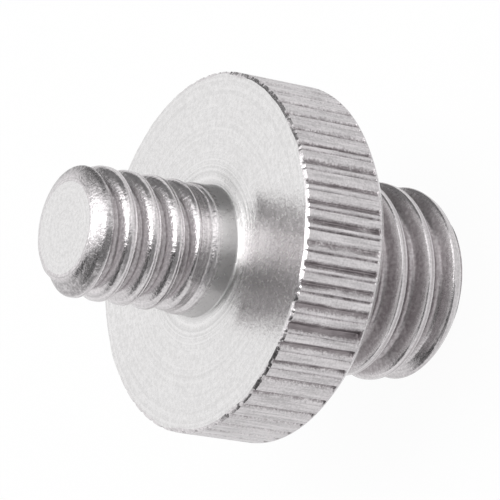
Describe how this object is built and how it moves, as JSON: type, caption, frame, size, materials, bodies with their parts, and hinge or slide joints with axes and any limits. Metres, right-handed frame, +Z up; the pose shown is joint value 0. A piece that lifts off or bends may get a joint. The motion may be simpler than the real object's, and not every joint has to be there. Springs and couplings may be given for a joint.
{
  "type": "thread adapter",
  "caption": "One-piece turned metal adapter with a small and a large threaded stud on either side of a straight-knurled disc.",
  "frame": {"origin": "centre of the large stud's flat end face, which the adapter stands on", "axes": "+Z up along the turning axis, from the large stud to the small stud"},
  "size_m": [0.0168, 0.0168, 0.0195],
  "materials": {
    "turned_metal": "turned, bright, with a straight knurl"
  },
  "bodies": {
    "root": {"thread_adapter": "turned_metal"}
  },
  "joints": []
}
